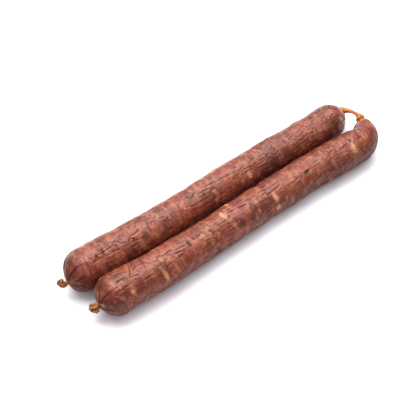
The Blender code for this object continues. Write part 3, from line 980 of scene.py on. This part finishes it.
def make_knot(knot, settings, material):
    """Turns a knot's outline as a hollow end, folds and crumples it, and hangs it from its neck."""
    distances, radii = outline_points(knot.outline, settings.rings)
    mesh = turned_mesh(f"{knot.node}_casing", distances, radii, settings.sides)
    flat, past, angle = turned_points(mesh)
    longest = max(distance for distance, _ in knot.outline)
    straight = ring_points(0.003, angle, past + knot.seed * 0.013)
    wander = plain_noise(straight, 2.2, 2.2)
    turned = knot.folds * (angle + math.radians(knot.twist) * past / longest) + 1.6 * wander
    grown = ease((past + 0.0002) / 0.0022)
    wave = np.cos(turned)
    fine = np.cos(2.4 * turned + 2.0 * wander)
    crumple = plain_noise(straight, 1.4, 1.8)
    folds = 1.0 + grown * (knot.fold_depth * wave + 0.07 * fine + 0.11 * crumple)
    lengthen = 1.0 + 0.10 * grown * plain_noise(straight + 0.5, 2.0, 2.0)
    sideways = flat[:, 0] * folds * (1.0 - knot.flatness * grown)
    upwards = flat[:, 1] * folds * (1.0 + knot.flatness * grown)
    sideways += knot.curl * np.sin(2.0 * math.pi * np.clip(past / longest, 0.0, 1.0))

    point, direction, right, up, _ = line_frame(knot.sausage, np.array([0.0]))
    steps = np.linspace(0.0, 1.4 * longest, KNOT_STEPS)
    bent = ease((steps / longest - 0.15) / 0.55)
    sway = np.radians(knot.sway + knot.bend * bent)[:, None]
    droop = np.radians(knot.droop - knot.rise * bent)[:, None]
    back = -direction * np.cos(sway) - right * np.sin(sway)
    away = back * np.cos(droop) - up * np.sin(droop)
    lift = up * np.cos(droop) + back * np.sin(droop)
    route = np.cumsum(away, axis=0) * steps[1]
    forwards = np.maximum(past * lengthen, 0.0)
    middle, away, lift = (read_between(forwards, steps, values) for values in (route - route[0], away, lift))
    side = np.cross(away, lift)
    spread = sideways[:, None] * side + upwards[:, None] * lift
    square = np.clip(1.0 - past / 0.0015, 0.0, 1.0)[:, None]
    level = flat[:, :1] * -right[0] + flat[:, 1:2] * up[0]
    spread = spread * (1.0 - square) + level * square
    start = point[0] - direction[0] * GAP
    write_points(mesh, start + middle - direction * np.minimum(past, 0.0)[:, None] + spread)
    store(mesh, "straight", straight)
    # Painted shade in the knot's inward folds.
    crease_shade = np.clip(0.5 - 0.55 * wave - 0.25 * fine - 0.4 * crumple, 0.0, 1.0) * (0.35 + 0.65 * grown)
    store(mesh, "crease_shade", crease_shade)
    return add_piece(mesh, material, CASING_SLOT, knot.node)


def strand_line(share):
    """Points and unit directions on the smooth curve between the linked tips."""
    corners = []
    for sausage, reach in ((REAR, STRAND_REACH_REAR), (FRONT, STRAND_REACH_FRONT)):
        point, direction, _, _, _ = line_frame(sausage, np.array([sausage.length]))
        root = point[0] + direction[0] * GAP
        corners.append((root, root + direction[0] * reach))
    (start, first), (end, second) = corners
    share = share[:, None]
    left = 1.0 - share
    point = start * left**3 + first * 3.0 * left**2 * share + second * 3.0 * left * share**2 + end * share**3
    direction = (first - start) * left**2 + 2.0 * (second - first) * left * share + (end - second) * share**2
    return point, direction / np.linalg.norm(direction, axis=1)[:, None]


def make_link(settings, material):
    """The strand of empty casing between the tips: it flares, pleats and runs into each of them."""
    count = 2 * settings.rings
    point, _ = strand_line(np.linspace(0.0, 1.0, count))
    length = float(np.linalg.norm(np.diff(point, axis=0), axis=1).sum())
    places = np.linspace(-STRAND_OVERLAP, length + STRAND_OVERLAP, count)
    from_end = np.minimum(places, length - places)
    reach = np.where(places < 0.5 * length, REAR_FLARE, FRONT_FLARE)
    flare = STRAND_FLARE * np.exp(-((np.clip(from_end, 0.0, None) / reach) ** 1.5))
    radii = STRAND_SWELL * STRAND_RADIUS * (1.0 + flare)
    radii *= 1.0 - 0.35 * np.clip(-from_end / STRAND_OVERLAP, 0.0, 1.0)
    mesh = turned_mesh("casing_link_strand", places, radii, settings.sides // 2)
    flat, along, angle = turned_points(mesh)
    straight = ring_points(0.002, angle, along)
    near_end = line_mask(np.clip(np.minimum(along, length - along), 0.0, None), 2.2)
    wave = np.cos(5.0 * angle + 500.0 * along + plain_noise(straight, 2.0, 2.0))
    folds = 1.0 + (0.06 + 0.10 * near_end) * wave + 0.10 * plain_noise(straight, 1.6, 3.0)
    inner = np.clip(along, 0.0, length)
    point, direction = strand_line(inner / length)
    right, up = side_axes(direction)
    placed = point + direction * (along - inner)[:, None]
    placed += (flat[:, 0] * folds)[:, None] * right + (flat[:, 1] * folds)[:, None] * up
    write_points(mesh, placed)
    store(mesh, "straight", straight)
    # Painted shade in the strand's pleats, most near its ends.
    store(mesh, "crease_shade", np.clip(0.35 - 0.6 * wave, 0.0, 1.0) * (0.15 + 0.25 * near_end))
    return add_piece(mesh, material, CASING_SLOT, "casing_link")


def add_light(name, power, size, towards, target):
    """A soft box that faces the target."""
    light = bpy.data.lights.new(name, "AREA")
    light.shape = "RECTANGLE"
    light.size, light.size_y = size
    light.energy = power
    lamp = bpy.data.objects.new(name, light)
    towards = Vector(towards).normalized()
    lamp.location = target + LIGHT_DISTANCE * towards
    lamp.rotation_euler = (-towards).to_track_quat("-Z", "Y").to_euler()
    bpy.context.scene.collection.objects.link(lamp)


class SAUSAGES_OT_make_sausages(bpy.types.Operator):
    """Make the skins of the front and rear sausages"""

    bl_idname = "sausages.make_sausages"
    bl_label = "Make Sausages"

    def execute(self, context):
        settings = context.scene.sausage_skin
        material = skin_material(settings)
        for sausage in (FRONT, REAR):
            make_sausage(sausage, settings, material)
        return {"FINISHED"}


class SAUSAGES_OT_make_knots(bpy.types.Operator):
    """Make the twisted casing ends past the tied necks"""

    bl_idname = "sausages.make_knots"
    bl_label = "Make Knots"

    def execute(self, context):
        settings = context.scene.sausage_casing
        material = casing_material("dried_casing", settings, settings.amber)
        for knot in (FRONT_KNOT, REAR_KNOT):
            make_knot(knot, settings, material)
        return {"FINISHED"}


class SAUSAGES_OT_make_link(bpy.types.Operator):
    """Make the strand of casing that joins the two linked ends"""

    bl_idname = "sausages.make_link"
    bl_label = "Make Link"

    def execute(self, context):
        settings = context.scene.sausage_casing
        make_link(settings, casing_material("strand_casing", settings, settings.orange))
        return {"FINISHED"}


class SAUSAGES_OT_make_stage(bpy.types.Operator):
    """Make the floor, the soft light and the camera"""

    bl_idname = "sausages.make_stage"
    bl_label = "Make Stage"

    def execute(self, context):
        settings = context.scene.sausage_stage
        work = bmesh.new()
        bmesh.ops.create_grid(work, x_segments=8, y_segments=8, size=0.5 * settings.floor_size)
        mesh = bpy.data.meshes.new("floor")
        work.to_mesh(mesh)
        work.free()
        mesh.materials.append(paper_material("white_paper", settings.floor_colour, 0.9))
        floor = bpy.data.objects.new("floor", mesh)
        context.scene.collection.objects.link(floor)

        world = bpy.data.worlds.new("studio")
        world.use_nodes = True
        background = world.node_tree.nodes["Background"]
        background.inputs["Color"].default_value = (*settings.fill_colour, 1.0)
        direction = add_node(world.node_tree, "ShaderNodeTexCoord").outputs["Generated"]
        height = add_node(world.node_tree, "ShaderNodeSeparateXYZ", {"Vector": direction}).outputs["Z"]
        strength = stretch(world.node_tree, height, 0.0, 1.0, settings.low_fill, settings.fill)
        world.node_tree.links.new(strength, background.inputs["Strength"])
        context.scene.world = world

        target = Vector(settings.target)
        add_light("key", settings.key_power, (1.8, 1.2), (0.15, 0.37, 0.92), target)
        add_light("back", settings.back_power, (2.0, 1.0), (0.15, 0.80, 0.55), target)
        add_light("strip", settings.strip_power, (0.10, 0.90), (0.36, -0.26, 0.90), target)

        lens = bpy.data.cameras.new("camera")
        lens.lens = settings.lens
        lens.sensor_width = 36.0
        lens.clip_start = 0.01
        camera = bpy.data.objects.new("camera", lens)
        level = Vector((math.sin(settings.bearing), math.cos(settings.bearing), 0.0))
        look = level * math.cos(settings.elevation) - Vector((0.0, 0.0, math.sin(settings.elevation)))
        camera.location = target - look * settings.distance
        camera.rotation_euler = look.to_track_quat("-Z", "Y").to_euler()
        context.scene.collection.objects.link(camera)
        context.scene.camera = camera
        context.scene.view_settings.view_transform = "Standard"
        return {"FINISHED"}


OPERATORS = (
    SAUSAGES_OT_make_sausages,
    SAUSAGES_OT_make_knots,
    SAUSAGES_OT_make_link,
    SAUSAGES_OT_make_stage,
)


class SAUSAGES_PT_parts(bpy.types.Panel):
    """Lists the pieces and the stage"""

    bl_idname = "SAUSAGES_PT_parts"
    bl_label = "Sausage Pair"
    bl_space_type = "VIEW_3D"
    bl_region_type = "UI"
    bl_category = "Sausages"

    def draw(self, context):
        for operator in OPERATORS:
            self.layout.operator(operator.bl_idname)
        for group in ("sausage_skin", "sausage_casing", "sausage_stage"):
            settings = getattr(context.scene, group)
            box = self.layout.box()
            for name in settings.bl_rna.properties.keys():
                if name not in ("rna_type", "name"):
                    box.prop(settings, name)


CLASSES = (SkinSettings, CasingSettings, StageSettings, *OPERATORS, SAUSAGES_PT_parts)


def register():
    for kind in CLASSES:
        bpy.utils.register_class(kind)
    bpy.types.Scene.sausage_skin = PointerProperty(type=SkinSettings)
    bpy.types.Scene.sausage_casing = PointerProperty(type=CasingSettings)
    bpy.types.Scene.sausage_stage = PointerProperty(type=StageSettings)


def unregister():
    del bpy.types.Scene.sausage_stage
    del bpy.types.Scene.sausage_casing
    del bpy.types.Scene.sausage_skin
    for kind in reversed(CLASSES):
        bpy.utils.unregister_class(kind)


def main():
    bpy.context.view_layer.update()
    register()
    bpy.ops.sausages.make_sausages()
    bpy.ops.sausages.make_knots()
    bpy.ops.sausages.make_link()
    bpy.ops.sausages.make_stage()


if __name__ == "__main__":
    main()
